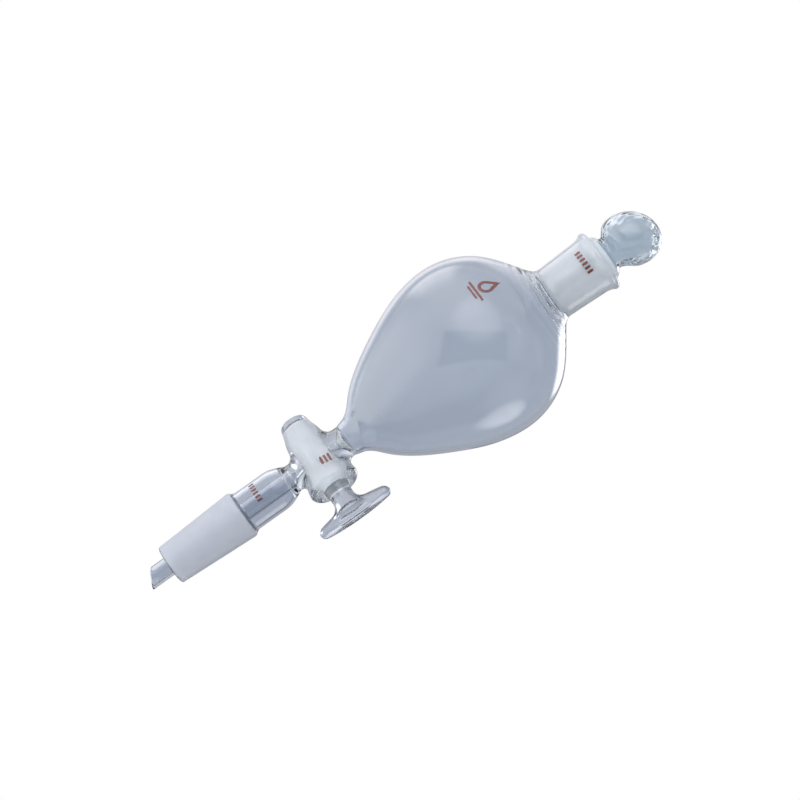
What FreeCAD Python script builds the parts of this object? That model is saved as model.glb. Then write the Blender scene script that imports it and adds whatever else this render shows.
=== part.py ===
import FreeCAD, Part
import math
import os
from FreeCAD import Vector

# All-glass separatory (dropping) funnel: a pear-shaped bulb with a ground 24/30 neck and a hollow
# stopper, an all-glass stopcock, and a ground 24/40 outlet cone with a drip tube inside it.
#
# Millimetres. The origin is the centre of the outlet cone's gauge plane, where the cone is 24 mm
# across. +Z runs up the funnel's axis to the stopper, +X along the stopcock key to its handle,
# and the marks face -Y.

# ---- driving dimensions -------------------------------------------------------------------
TAPER = 0.05                # radius per millimetre of a standard 1:10 ground joint
GROUND_GAP = 0.05           # radial clearance of the stopper in its socket and the key in its barrel

# outlet cone 24/40, clear jacket above it, and the drip tube down their middle
CONE_GAUGE_R = 12.0
CONE_LENGTH = 40.0
CONE_WALL = 2.2
JACKET_R = 10.2
JACKET_WALL = 1.5
CONE_SHOULDER_Z = 3.5       # where the cone has narrowed to the jacket
JACKET_TOP_Z = 28.5         # weld between the jacket's ring seal and the stopcock's lower arm
SEAL_Z = 26.5               # underside of the ring seal, where the drip tube starts
DRIP_R = 4.75
DRIP_BORE_R = 3.25
DRIP_POINT_Z = -53.9
DRIP_HEEL_Z = -48.8
DRIP_TURN = 25.0            # degrees from +X towards +Y at which the drip point lies

# stopcock
KEY_Z = 44.1                # height of the key's axis
KEY_MID_R = 5.7             # ground radius of the key at x = 0
BORE_R = 1.5
BARREL_NARROW_X = -23.6
BARREL_END_R = 5.9
BARREL_MOUTH_X = 17.0
BARREL_MOUTH_R = 7.2
GROUND_WIDE_X = 15.8        # where the barrel's ground bore opens into its rounded mouth
BEAD_X = 14.5
BEAD_R = 12.6
KEY_NARROW_X = -21.6
KEY_GROUND_END_X = 17.2
KEY_WELD_X = 19.5           # plug to stem
STEM_TOP_X = 24.5           # stem to handle
STEM_WAIST_R = 5.6
STEM_TOP_R = 5.85
LOWER_WAIST_Z = 30.4
LOWER_WAIST_R = 6.75
UPPER_WAIST_Z = 59.5
UPPER_WAIST_R = 7.9

# key handle, a flat bar across the stem, a little longer upwards
HANDLE_HALF = 19.75
HANDLE_MID_Z = KEY_Z + 0.8
HANDLE_THICK = 7.0
HANDLE_CROWN_X = 36.5
HANDLE_END_X = (30.5, 34.9)
HANDLE_EDGE_R = 2.2

# bulb: (z, outer radius) from the stopcock's upper arm to the neck
BULB_WALL = 1.8
BULB_ZONES = {"bulb_cone": (62.0, 100.0), "bulb_belly": (100.0, 150.0), "bulb_shoulder": (150.0, 177.2)}
BULB_OUTLINE = [
    (62.0, 8.5), (66.0, 9.9), (72.0, 15.6), (85.0, 26.2), (100.0, 34.5), (115.0, 41.0),
    (128.0, 44.0), (138.0, 44.2), (150.0, 41.2), (160.0, 35.1), (168.0, 26.4), (173.0, 19.5),
    (177.2, 14.2),
]

# neck socket 24/30
SOCKET_MOUTH_Z = 207.2
SOCKET_GAUGE_R = 12.0
SOCKET_OUTER = [(180.6, 13.1), (200.5, 13.9)]
RIM_BEAD_R = 1.9
RIM_R = 15.5

# stopper
STOPPER_WALL = 1.7
STOPPER_FOOT_Z = 178.6
STOPPER_GROUND_TOP_Z = 206.8
STOPPER_SHOULDER_Z = 208.0
HEAD_WELD_Z = 211.4
HEAD_NECK_R = 8.5
HEAD_WALL = 1.6
HEAD_MID_Z = 224.4          # centre of the head's upper half, a half ball
HEAD_R = 13.7

# printed marks
MARK_THICK = 0.12
EMBLEM_TURN = -6.0          # degrees about Z from facing -Y, away from the handle

Z_AXIS = Vector(0, 0, 1)
X_AXIS = Vector(1, 0, 0)
ORIGIN = Vector(0, 0, 0)
KEY_CENTRE = Vector(0, 0, KEY_Z)


class Outline:
    """A closed outline in the half-plane beside an axis. A point is (along the axis, radius)."""

    def __init__(self, start, origin=ORIGIN, axis=Z_AXIS, radial=X_AXIS):
        self.origin = origin
        self.axis = axis
        self.radial = radial
        self.first = start
        self.last = start
        self.edges = []

    def place(self, point):
        return self.origin + self.axis * point[0] + self.radial * point[1]

    def direction(self, vector):
        return (self.axis * vector[0] + self.radial * vector[1]).normalize()

    def lines(self, *points):
        for point in points:
            self.edges.append(Part.LineSegment(self.place(self.last), self.place(point)).toShape())
            self.last = point
        return self

    def arc(self, middle, end):
        ends = self.place(self.last), self.place(middle), self.place(end)
        self.edges.append(Part.Arc(*ends).toShape())
        self.last = end
        return self

    def curve(self, points, leave=None, arrive=None):
        """A smooth curve on through the points, with end directions (along, radius) if given."""
        spline = Part.BSplineCurve()
        through = [self.place(point) for point in [self.last, *points]]
        if leave and arrive:
            spline.interpolate(
                Points=through,
                InitialTangent=self.direction(leave),
                FinalTangent=self.direction(arrive),
                Scale=False,
            )
        else:
            spline.interpolate(Points=through)
        self.edges.append(spline.toShape())
        self.last = points[-1]
        return self

    def turned(self):
        if self.last != self.first:
            self.lines(self.first)
        face = Part.Face(Part.Wire(self.edges))
        return face.revolve(self.origin, self.axis, 360)


def key_outline(start):
    """An outline beside the key's axis. Its points are (x, radius)."""
    return Outline(start, KEY_CENTRE, X_AXIS, Z_AXIS)


def inside(points, wall):
    """The line of points moved by the wall's thickness towards the axis, square to the line."""
    moved = []
    for i, (along, radius) in enumerate(points):
        before = points[max(i - 1, 0)]
        after = points[min(i + 1, len(points) - 1)]
        step = math.hypot(after[0] - before[0], after[1] - before[1])
        rise = (after[1] - before[1]) / step
        run = (after[0] - before[0]) / step
        moved.append((along + wall * rise, radius - wall * run))
    return moved


def ground_key_r(x):
    return KEY_MID_R + TAPER * x


def ground_socket_r(z):
    return SOCKET_GAUGE_R - TAPER * (SOCKET_MOUTH_Z - z)


def only_solid(shape):
    """The one solid of a cut's result, which is otherwise a compound."""
    solids = shape.removeSplitter().Solids
    return max(solids, key=lambda solid: solid.Volume)


# ---- fused glass body -----------------------------------------------------------------------
def bulb_outside(outline, offset=0.0):
    """The bulb's outer line, moved out by the offset."""
    foot, *rest = inside(BULB_OUTLINE, -offset)
    return outline.lines(foot).curve(rest, leave=(1.0, 0.2), arrive=(1.0, -0.9))


def make_bulb_zones():
    """The reservoir: one smooth pear outline with the wall inside it, in three rings."""
    outer = BULB_OUTLINE
    inner = inside(outer, BULB_WALL)[1:-1]
    foot = (outer[0][0], outer[0][1] - BULB_WALL)
    throat = (outer[-1][0], ground_socket_r(outer[-1][0]))
    outline = bulb_outside(Outline(foot)).lines(throat)
    outline.curve([*inner[::-1], foot], leave=(-1.0, 1.35), arrive=(-1.0, -0.35))
    bulb = outline.turned()
    zones = {}
    for name, (low, high) in BULB_ZONES.items():
        slab = Part.makeBox(120, 120, high - low, Vector(-60, -60, low))
        zones[name] = only_solid(bulb.common(slab))
    return zones


def make_neck_socket():
    """The ground 24/30 socket with its rolled rim."""
    foot_z, foot_r = BULB_OUTLINE[-1]
    (low_z, low_r), (high_z, high_r) = SOCKET_OUTER
    bead_z = SOCKET_MOUTH_Z - RIM_BEAD_R
    bead_mid_r = RIM_R - RIM_BEAD_R
    lip_r = SOCKET_GAUGE_R + 0.5
    outline = Outline((foot_z, ground_socket_r(foot_z))).lines((foot_z, foot_r))
    outline.arc((foot_z + 1.4, foot_r - 0.85), (low_z, low_r))
    outline.lines((high_z, high_r))
    outline.arc((high_z + 2.0, high_r + 0.45), (bead_z - 1.2, bead_mid_r + 1.45))
    outline.arc((bead_z, RIM_R), (SOCKET_MOUTH_Z, bead_mid_r))
    outline.lines((SOCKET_MOUTH_Z, lip_r))
    lip_z = SOCKET_MOUTH_Z - 0.5
    outline.arc((SOCKET_MOUTH_Z - 0.15, lip_r - 0.35), (lip_z, ground_socket_r(lip_z)))
    return outline.turned()


def barrel_blank(offset=0.0):
    """The barrel's outside as a solid plug, its surface moved out by the offset."""
    outline = key_outline((BARREL_NARROW_X, 0.0)).lines((BARREL_NARROW_X, BARREL_END_R + offset))
    return barrel_outside(outline, offset).lines((BARREL_MOUTH_X, 0.0)).turned()


def barrel_outside(outline, offset=0.0):
    """The barrel's outer line: a rounded narrow end, a swelling body and a bead at the mouth."""
    lip_x, lip_r = BARREL_NARROW_X, BARREL_END_R + offset
    outline.arc((lip_x + 0.2, lip_r + 0.45), (lip_x + 0.7, lip_r + 0.8))
    body = [(-18.8, 7.55), (-13.9, 9.1), (-6.0, 9.9), (2.0, 10.35), (8.0, 11.15), (BEAD_X, BEAD_R)]
    body = [(x, radius + offset) for x, radius in body]
    outline.curve(body, leave=(1.0, 0.5), arrive=(1.0, 0.0))
    return outline.arc((BARREL_MOUTH_X - 0.6, 11.6 + offset), (BARREL_MOUTH_X, 10.2 + offset))


def make_barrel():
    """The stopcock's tapered barrel, bored through its wall above and below the key."""
    gap = GROUND_GAP
    outline = key_outline((BARREL_NARROW_X, ground_key_r(BARREL_NARROW_X) + 0.25))
    outline.lines((BARREL_NARROW_X, BARREL_END_R))
    barrel_outside(outline)
    outline.lines((BARREL_MOUTH_X, BARREL_MOUTH_R))
    outline.arc((16.6, 6.85), (GROUND_WIDE_X, ground_key_r(GROUND_WIDE_X) + gap))
    outline.lines((KEY_NARROW_X, ground_key_r(KEY_NARROW_X) + gap))
    through = Part.makeCylinder(BORE_R, 2 * BEAD_R, Vector(0, 0, KEY_Z - BEAD_R), Z_AXIS)
    return only_solid(outline.turned().cut(through))


def make_upper_arm(barrel_outer):
    """The funnel-bored arm between the bulb and the barrel."""
    weld_z, weld_r = BULB_OUTLINE[0]
    deep_z = KEY_Z + 2.0
    outline = Outline((deep_z, BORE_R)).lines((deep_z, 9.6), (53.0, 9.6))
    outline.arc((55.4, 8.35), (UPPER_WAIST_Z, UPPER_WAIST_R))
    outline.arc((60.8, 8.07), (weld_z, weld_r))
    outline.lines((weld_z, weld_r - BULB_WALL))
    outline.arc((58.2, 4.5), (55.2, BORE_R))
    return only_solid(outline.turned().cut(barrel_outer))


def make_lower_arm(barrel_outer):
    """The arm under the barrel, down to the ring seal."""
    deep_z = KEY_Z - 2.0
    outline = Outline((JACKET_TOP_Z, DRIP_BORE_R)).lines((JACKET_TOP_Z, 7.35))
    outline.arc((29.3, 6.95), (LOWER_WAIST_Z, LOWER_WAIST_R))
    outline.arc((33.0, 7.25), (35.6, 9.2))
    outline.lines((deep_z, 9.2), (deep_z, BORE_R), (33.4, BORE_R))
    outline.arc((31.6, 2.0), (JACKET_TOP_Z, DRIP_BORE_R))
    return only_solid(outline.turned().cut(barrel_outer))


def make_vapour_jacket():
    """The clear tube round the drip tube, drawn in at its top to the ring seal."""
    inner_r = JACKET_R - JACKET_WALL
    outline = Outline((CONE_SHOULDER_Z, inner_r)).lines((CONE_SHOULDER_Z, JACKET_R), (19.5, JACKET_R))
    outline.arc((23.9, 9.45), (26.8, 7.95))
    outline.lines((JACKET_TOP_Z, 7.35), (JACKET_TOP_Z, DRIP_BORE_R), (SEAL_Z, DRIP_BORE_R))
    outline.lines((SEAL_Z, DRIP_R + 0.9))
    outline.arc((23.6, 7.75), (19.5, inner_r))
    return outline.turned()


def make_outlet_cone():
    """The ground 24/40 cone, with a rounded foot and a shoulder up to the jacket."""
    foot_z = -CONE_LENGTH
    foot_r = CONE_GAUGE_R - TAPER * CONE_LENGTH
    tip_z = foot_z - 0.6
    outline = Outline((CONE_SHOULDER_Z, JACKET_R - JACKET_WALL))
    outline.lines((0.0, CONE_GAUGE_R - CONE_WALL), (foot_z, foot_r - CONE_WALL))
    outline.arc((tip_z, foot_r - CONE_WALL / 2), (foot_z, foot_r))
    outline.lines((0.0, CONE_GAUGE_R))
    outline.arc((1.3, 11.45), (CONE_SHOULDER_Z, JACKET_R))
    return outline.turned()


def make_drip_tube():
    """The tube that carries the liquid down, cut off aslant at its tip."""
    outline = Outline((SEAL_Z, DRIP_BORE_R)).lines(
        (SEAL_Z, DRIP_R), (DRIP_POINT_Z - 1.0, DRIP_R), (DRIP_POINT_Z - 1.0, DRIP_BORE_R)
    )
    slant = math.degrees(math.atan2(DRIP_HEEL_Z - DRIP_POINT_Z, 2 * DRIP_R))
    block = Part.makeBox(40, 40, 20, Vector(-20, -20, -20))
    block.rotate(ORIGIN, Vector(0, 1, 0), slant)
    block.rotate(ORIGIN, Z_AXIS, DRIP_TURN)
    block.translate(Vector(0, 0, (DRIP_HEEL_Z + DRIP_POINT_Z) / 2))
    return only_solid(outline.turned().cut(block))


# ---- stopcock key ---------------------------------------------------------------------------
def make_key_plug():
    """The ground plug, with the bore that lines up with the arms when the handle stands upright."""
    narrow_r = ground_key_r(KEY_NARROW_X)
    outline = key_outline((KEY_NARROW_X, 0.0)).lines((KEY_NARROW_X, narrow_r - 0.8))
    edge_x = KEY_NARROW_X + 0.8
    outline.arc((KEY_NARROW_X + 0.25, narrow_r - 0.25), (edge_x, ground_key_r(edge_x)))
    outline.lines((KEY_GROUND_END_X, ground_key_r(KEY_GROUND_END_X)))
    outline.arc((18.6, 6.42), (KEY_WELD_X, 6.1))
    outline.lines((KEY_WELD_X, 0.0))
    through = Part.makeCylinder(BORE_R, 20, Vector(0, 0, KEY_Z - 10), Z_AXIS)
    return only_solid(outline.turned().cut(through))


def make_key_stem():
    """The waist between the plug and the handle."""
    outline = key_outline((KEY_WELD_X, 0.0)).lines((KEY_WELD_X, 6.1))
    outline.arc((21.6, STEM_WAIST_R + 0.05), (STEM_TOP_X, STEM_TOP_R))
    outline.lines((STEM_TOP_X, 0.0))
    return outline.turned()


def make_key_handle():
    """The finger bar: a boat-shaped plate with rounded edges, on a flared root."""
    inner_x, outer_x = HANDLE_END_X
    half_y = HANDLE_THICK / 2

    def point(x, z):
        return Vector(x, -half_y, HANDLE_MID_Z + z)

    edges = []
    corners = {}
    for side in (1, -1):
        root = point(STEM_TOP_X, side * 5.0)
        hip = point(28.2, side * 8.9)
        inner = point(inner_x, side * (HANDLE_HALF - 1.4))
        tip = point((inner_x + outer_x) / 2, side * HANDLE_HALF)
        outer = point(outer_x, side * (HANDLE_HALF - 1.4))
        corners[side] = root, outer
        edges.append(Part.Arc(root, point(26.6, side * 6.1), hip).toShape())
        edges.append(Part.LineSegment(hip, inner).toShape())
        edges.append(Part.Arc(inner, tip, outer).toShape())
    edges.append(Part.Arc(corners[1][1], point(HANDLE_CROWN_X, 0), corners[-1][1]).toShape())
    edges.append(Part.LineSegment(corners[-1][0], corners[1][0]).toShape())
    face = Part.Face(Part.Wire(Part.__sortEdges__(edges)))
    plate = face.extrude(Vector(0, HANDLE_THICK, 0))
    rims = [e for e in plate.Edges if abs(abs(e.CenterOfMass.y) - half_y) < 1e-6]
    rims = [e for e in rims if e.CenterOfMass.x > STEM_TOP_X + 0.01]
    plate = plate.makeFillet(HANDLE_EDGE_R, rims)

    root = key_outline((STEM_TOP_X, 0.0)).lines((STEM_TOP_X, STEM_TOP_R))
    root.arc((27.4, 5.6), (31.0, 3.0))
    root = root.lines((31.0, 0.0)).turned()
    return only_solid(plate.fuse(root))


# ---- stopper --------------------------------------------------------------------------------
def make_stopper_plug():
    """The hollow ground plug, closed at its foot and drawn in above the socket to the head."""
    gap = GROUND_GAP
    foot_r = ground_socket_r(STOPPER_FOOT_Z) - gap
    top_r = ground_socket_r(STOPPER_GROUND_TOP_Z) - gap
    outline = Outline((STOPPER_FOOT_Z - 0.6, 0.0))
    outline.arc((STOPPER_FOOT_Z - 0.5, foot_r / 2), (STOPPER_FOOT_Z, foot_r - 1.2))
    outline.arc((STOPPER_FOOT_Z + 0.4, foot_r - 0.35), (STOPPER_FOOT_Z + 1.3, foot_r + 0.065))
    outline.lines((STOPPER_GROUND_TOP_Z, top_r))
    outline.arc((STOPPER_SHOULDER_Z + 0.6, 11.3), (HEAD_WELD_Z, HEAD_NECK_R))
    outline.lines((HEAD_WELD_Z, HEAD_NECK_R - HEAD_WALL))
    outline.arc((STOPPER_SHOULDER_Z, 9.2), (206.0, top_r - STOPPER_WALL))
    outline.lines((STOPPER_FOOT_Z + 2.6, foot_r - STOPPER_WALL + 0.13))
    outline.arc((STOPPER_FOOT_Z + 1.4, foot_r - 2.8), (STOPPER_FOOT_Z + 1.2, 5.0))
    outline.lines((STOPPER_FOOT_Z + 1.0, 0.0))
    return outline.turned()


def make_stopper_head():
    """The hollow-blown grip, an onion shape."""
    neck = (HEAD_WELD_Z, HEAD_NECK_R)
    cheek = (HEAD_MID_Z - 7.6, 11.9)
    belly = (HEAD_MID_Z, HEAD_R)
    brow = (HEAD_MID_Z + HEAD_R * math.sqrt(0.5), HEAD_R * math.sqrt(0.5))
    crown = (HEAD_MID_Z + HEAD_R, 0.0)

    def within(point):
        """The point moved in by the wall, straight towards the middle of the head."""
        share = 1 - HEAD_WALL / math.hypot(point[0] - HEAD_MID_Z, point[1])
        return (HEAD_MID_Z + (point[0] - HEAD_MID_Z) * share, point[1] * share)

    neck_inside = (HEAD_WELD_Z, HEAD_NECK_R - HEAD_WALL)
    outline = Outline(neck).arc(cheek, belly).arc(brow, crown).lines(within(crown))
    outline.arc(within(brow), within(belly)).arc(within(cheek), neck_inside)
    return outline.turned()


# ---- printed marks --------------------------------------------------------------------------
def mark_film(solid_inside, solid_outside, stamps):
    """The stamps, prisms along Y, cut to a thin film between two surfaces on the -Y side."""
    film = solid_outside.cut(solid_inside)
    front = Part.makeBox(200, 100, 400, Vector(-100, -100, -100))
    pieces = []
    for stamp in stamps:
        pieces += film.common(stamp).common(front).Solids
    return Part.makeCompound(pieces)


def bar_stamp(x, z, width, height, turn=0.0):
    """A prism along Y, about the stated middle, turned about Z to face another way round."""
    bar = Part.makeBox(width, 60, height, Vector(x - width / 2, -60, z - height / 2))
    bar.rotate(ORIGIN, Z_AXIS, turn)
    return bar


def drop_stamp(z, radius, point_height):
    """A water drop: a round bottom and two straight sides to a point."""
    reach = math.asin(radius / point_height)
    side_x = radius * math.cos(reach)
    side_z = z + radius * math.sin(reach)
    tip = Vector(0, -60, z + point_height)
    right = Vector(side_x, -60, side_z)
    left = Vector(-side_x, -60, side_z)
    edges = [
        Part.LineSegment(tip, right).toShape(),
        Part.Arc(right, Vector(0, -60, z - radius), left).toShape(),
        Part.LineSegment(left, tip).toShape(),
    ]
    return Part.Face(Part.Wire(edges)).extrude(Vector(0, 60, 0))


def bulb_skin(offset):
    """The bulb's outside as a solid, its surface moved out by the offset."""
    outline = bulb_outside(Outline((BULB_OUTLINE[0][0], 0.0)), offset)
    return outline.lines((outline.last[0], 0.0)).turned()


def make_bulb_emblem():
    """A drop over two short bars, in enamel on the bulb's shoulder."""
    stamps = [
        drop_stamp(153.6, 3.5, 6.6).cut(drop_stamp(153.6, 2.0, 3.8)),
        bar_stamp(0, 148.7, 12.4, 1.1),
        bar_stamp(0, 146.9, 8.4, 0.9),
    ]
    for stamp in stamps:
        stamp.rotate(ORIGIN, Z_AXIS, EMBLEM_TURN)
    return mark_film(bulb_skin(0.0), bulb_skin(MARK_THICK), stamps)


def tube_film(low, high, stamps):
    """A film on a straight or tapered tube between two points, each (z, radius)."""
    skins = []
    for offset in (0.0, MARK_THICK):
        skin = Outline((low[0], 0.0)).lines((low[0], low[1] + offset), (high[0], high[1] + offset))
        skins.append(skin.lines((high[0], 0.0)).turned())
    return mark_film(*skins, stamps)


def size_bars(z, turn, count, width, height, pitch):
    """A row of short upright bars round the tube, standing for a size mark."""
    middle = (count - 1) / 2
    return [bar_stamp((i - middle) * pitch, z, width, height, turn) for i in range(count)]


def make_socket_mark():
    """Six bars on the neck socket, facing a little towards the handle."""
    return tube_film(*SOCKET_OUTER, size_bars(198.0, 9.0, 6, 1.3, 2.8, 2.2))


def make_jacket_mark():
    """Six bars on the clear jacket above the outlet cone."""
    stamps = size_bars(12.1, -7.0, 6, 1.2, 2.6, 2.0)
    return tube_film((CONE_SHOULDER_Z, JACKET_R), (19.5, JACKET_R), stamps)


def make_barrel_mark(upper_arm):
    """Three bars on the front of the barrel, across its length."""
    stamps = [bar_stamp(6.2, KEY_Z + 4.1 + (i - 1) * 2.2, 3.8, 1.3) for i in range(3)]
    return mark_film(barrel_blank(), barrel_blank(MARK_THICK), stamps).cut(upper_arm)


def main():
    os.makedirs("parts", exist_ok=True)
    barrel_outer = barrel_blank()
    upper_arm = make_upper_arm(barrel_outer)
    nodes = {
        **make_bulb_zones(),
        "neck_socket": make_neck_socket(),
        "upper_arm": upper_arm,
        "stopcock_barrel": make_barrel(),
        "lower_arm": make_lower_arm(barrel_outer),
        "vapour_jacket": make_vapour_jacket(),
        "outlet_cone": make_outlet_cone(),
        "drip_tube": make_drip_tube(),
        "key_plug": make_key_plug(),
        "key_stem": make_key_stem(),
        "key_handle": make_key_handle(),
        "stopper_plug": make_stopper_plug(),
        "stopper_head": make_stopper_head(),
        "bulb_emblem": make_bulb_emblem(),
        "socket_mark": make_socket_mark(),
        "jacket_mark": make_jacket_mark(),
        "barrel_mark": make_barrel_mark(upper_arm),
    }
    for name, shape in nodes.items():
        box = shape.BoundBox
        print(
            f"{name:16} solids {len(shape.Solids)} valid {shape.isValid()} volume {shape.Volume:9.1f}"
            f"  x {box.XMin:7.2f} {box.XMax:7.2f}  y {box.YMin:7.2f} {box.YMax:7.2f}"
            f"  z {box.ZMin:7.2f} {box.ZMax:7.2f}"
        )
        shape.exportStep(f"parts/{name}.step")


main()
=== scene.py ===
import math

import bmesh
import bpy
import numpy as np
from mathutils import Matrix, Vector


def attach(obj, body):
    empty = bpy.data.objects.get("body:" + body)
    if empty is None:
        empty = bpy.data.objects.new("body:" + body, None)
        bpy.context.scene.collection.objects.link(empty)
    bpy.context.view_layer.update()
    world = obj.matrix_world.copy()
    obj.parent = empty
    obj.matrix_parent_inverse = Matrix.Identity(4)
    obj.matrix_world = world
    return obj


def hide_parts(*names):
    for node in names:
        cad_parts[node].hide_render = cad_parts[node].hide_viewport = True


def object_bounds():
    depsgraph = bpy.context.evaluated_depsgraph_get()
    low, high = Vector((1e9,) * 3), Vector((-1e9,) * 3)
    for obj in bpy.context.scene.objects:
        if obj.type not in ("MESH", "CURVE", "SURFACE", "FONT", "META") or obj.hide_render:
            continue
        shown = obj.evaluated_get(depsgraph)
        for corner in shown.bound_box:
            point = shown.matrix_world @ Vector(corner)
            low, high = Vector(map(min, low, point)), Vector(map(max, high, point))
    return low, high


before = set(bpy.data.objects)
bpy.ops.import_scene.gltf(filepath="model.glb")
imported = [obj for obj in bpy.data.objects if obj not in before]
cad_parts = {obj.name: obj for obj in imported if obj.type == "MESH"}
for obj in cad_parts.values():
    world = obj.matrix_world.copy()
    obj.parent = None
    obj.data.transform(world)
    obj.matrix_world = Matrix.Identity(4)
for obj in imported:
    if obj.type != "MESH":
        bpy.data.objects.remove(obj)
cad_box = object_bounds()

# Shapes are worked out in millimetres in the row frame and turned into metres as meshes are made:
# the origin is the outlet cone's gauge plane, +Z runs up the funnel, +X along the key.
MM = 0.001
TAPER = 0.05                        # radius per millimetre of a 1:10 ground joint
AROUND = 224                        # vertices round a lathe-turned surface
VIEW_TURN = math.radians(25)        # the viewing direction, from -Y towards +X
KEY_Z = 44.1
KEY_MID_R = 5.7                     # the key's ground radius at x = 0
BORE_R = 1.5
ARM_TOP_Z = 62.0                    # weld of the upper arm to the bulb
ARM_FOOT_Z = 28.5                   # weld of the lower arm to the jacket
BULB_TOP_Z = 177.2                  # weld of the bulb to the neck
SOCKET_MOUTH_Z = 207.2
GAUGE_R = 12.0                      # a 24 mm ground joint at its wide end
GROUND_GAP = 0.05
ON_GROUND = 0.12                    # a face this near a ground taper is part of it
SKIN_PITCH = 0.42                   # grid spacing of the blended solids
GLASS_IOR = 1.473

CLEAR, GROUND, SEAM = 0, 1, 2       # material slots of every glass piece


# ---- outlines ---------------------------------------------------------------------------------
def smooth_line(points, leave, arrive, step=0.5):
    """Points about every step mm along the cubic spline through points, with its end directions."""
    p = np.array(points, float)
    t = np.r_[0, np.cumsum(np.linalg.norm(np.diff(p, axis=0), axis=1))]
    h = np.diff(t)
    n = len(p)
    rows, right = np.zeros((n, n)), np.zeros((n, 2))
    rows[0, 0] = rows[-1, -1] = 1
    right[0] = np.array(leave) / np.linalg.norm(leave)
    right[-1] = np.array(arrive) / np.linalg.norm(arrive)
    for i in range(1, n - 1):
        rows[i, i - 1:i + 2] = h[i], 2 * (h[i - 1] + h[i]), h[i - 1]
        rise, fall = (p[i + 1] - p[i]) / h[i], (p[i] - p[i - 1]) / h[i - 1]
        right[i] = 3 * (h[i - 1] * rise + h[i] * fall)
    m = np.linalg.solve(rows, right)
    line = []
    for i in range(n - 1):
        count = max(2, round(h[i] / step))
        s = np.linspace(0, 1, count, endpoint=False)[:, None]
        line.append(
            (2 * s**3 - 3 * s**2 + 1) * p[i] + (s**3 - 2 * s**2 + s) * h[i] * m[i]
            + (3 * s**2 - 2 * s**3) * p[i + 1] + (s**3 - s**2) * h[i] * m[i + 1]
        )
    return np.vstack([*line, p[-1:]])


def arc(start, middle, end, count=10):
    """Points along the circle through three points, start and end included."""
    (ax, ay), (bx, by), (cx, cy) = start, middle, end
    d = 2 * (ax * (by - cy) + bx * (cy - ay) + cx * (ay - by))
    a2, b2, c2 = ax * ax + ay * ay, bx * bx + by * by, cx * cx + cy * cy
    ux = (a2 * (by - cy) + b2 * (cy - ay) + c2 * (ay - by)) / d
    uy = (a2 * (cx - bx) + b2 * (ax - cx) + c2 * (bx - ax)) / d
    turns = np.unwrap([math.atan2(y - uy, x - ux) for x, y in (start, middle, end)])
    radius = math.hypot(ax - ux, ay - uy)
    angles = np.linspace(turns[0], turns[-1], count)
    return np.c_[ux + radius * np.cos(angles), uy + radius * np.sin(angles)]


def straight(start, end, step=0.8):
    count = max(2, round(math.dist(start, end) / step) + 1)
    return np.linspace(start, end, count)


def moved_in(line, wall):
    """The line moved towards the axis by the wall, square to itself. A point is (z, radius)."""
    along = np.gradient(line, axis=0)
    along /= np.linalg.norm(along, axis=1)[:, None]
    return np.c_[line[:, 0] + wall * along[:, 1], line[:, 1] - wall * along[:, 0]]


def ease(x):
    """0 below 0, 1 above 1, smooth between."""
    x = np.clip(x, 0, 1)
    return x * x * (3 - 2 * x)


def socket_r(z):
    """The radius of the neck's ground bore."""
    return GAUGE_R - TAPER * (SOCKET_MOUTH_Z - z)


# ---- mesh making ------------------------------------------------------------------------------
def glass_object(name, points, faces, kinds, materials):
    mesh = bpy.data.meshes.new(name)
    mesh.from_pydata((np.asarray(points) * MM).tolist(), [], faces)
    for material in materials:
        mesh.materials.append(material)
    mesh.polygons.foreach_set("material_index", np.asarray(kinds, np.int32))
    mesh.update()
    piece = bpy.data.objects.new(name, mesh)
    bpy.context.scene.collection.objects.link(piece)
    return piece


def smooth_shade(piece, degrees=40):
    piece.data.polygons.foreach_set("use_smooth", [True] * len(piece.data.polygons))
    piece.data.set_sharp_from_angle(angle=math.radians(degrees))


def lathe(name, loops, materials, shape=None):
    """A glass piece turned about Z. A loop is a list of (line, kind); a line's points are (z, radius).

    Each loop runs up outside the glass and down inside it, and either closes or ends on the axis.
    shape, if given, moves the finished points.
    """
    angle = np.linspace(0, 2 * math.pi, AROUND, endpoint=False)
    ring = np.c_[np.sin(angle), -np.cos(angle)]
    near = 1e-6                     # points nearer than this are one
    points, faces, kinds = [], [], []
    count = 0
    for loop in loops:
        profile, tags = [], []
        for line, kind in loop:
            for i, point in enumerate(line):
                if profile and math.dist(point, profile[-1]) < near:
                    continue
                profile.append(tuple(point))
                tags.append(kind)
        closed = math.dist(profile[0], profile[-1]) < near
        if closed:
            profile.pop()
            tags[0] = tags.pop()
        starts = []
        for z, radius in profile:
            starts.append((count, radius < near))
            if radius < near:
                points.append([[0, 0, z]])
                count += 1
            else:
                points.append(np.c_[ring * radius, np.full(AROUND, z)])
                count += AROUND
        spans = list(zip(starts, starts[1:], tags[1:]))
        if closed:
            spans.append((starts[-1], starts[0], tags[0]))
        for (low, low_pole), (high, high_pole), kind in spans:
            for j in range(AROUND):
                k = (j + 1) % AROUND
                if low_pole:
                    faces.append((low, high + k, high + j))
                elif high_pole:
                    faces.append((low + j, low + k, high))
                else:
                    faces.append((low + j, low + k, high + k, high + j))
                kinds.append(kind)
    points = np.vstack(points)
    if shape:
        points = shape(points)
    piece = glass_object(name, points, faces, kinds, materials)
    smooth_shade(piece)
    return piece


# ---- blended solids ---------------------------------------------------------------------------
def blend_min(a, b, width):
    """The union of two distance fields, with a fillet about width mm wide."""
    share = np.maximum(width - np.abs(a - b), 0) / width
    return np.minimum(a, b) - share * share * width / 4


def blend_max(a, b, width):
    return -blend_min(-a, -b, width)


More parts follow.
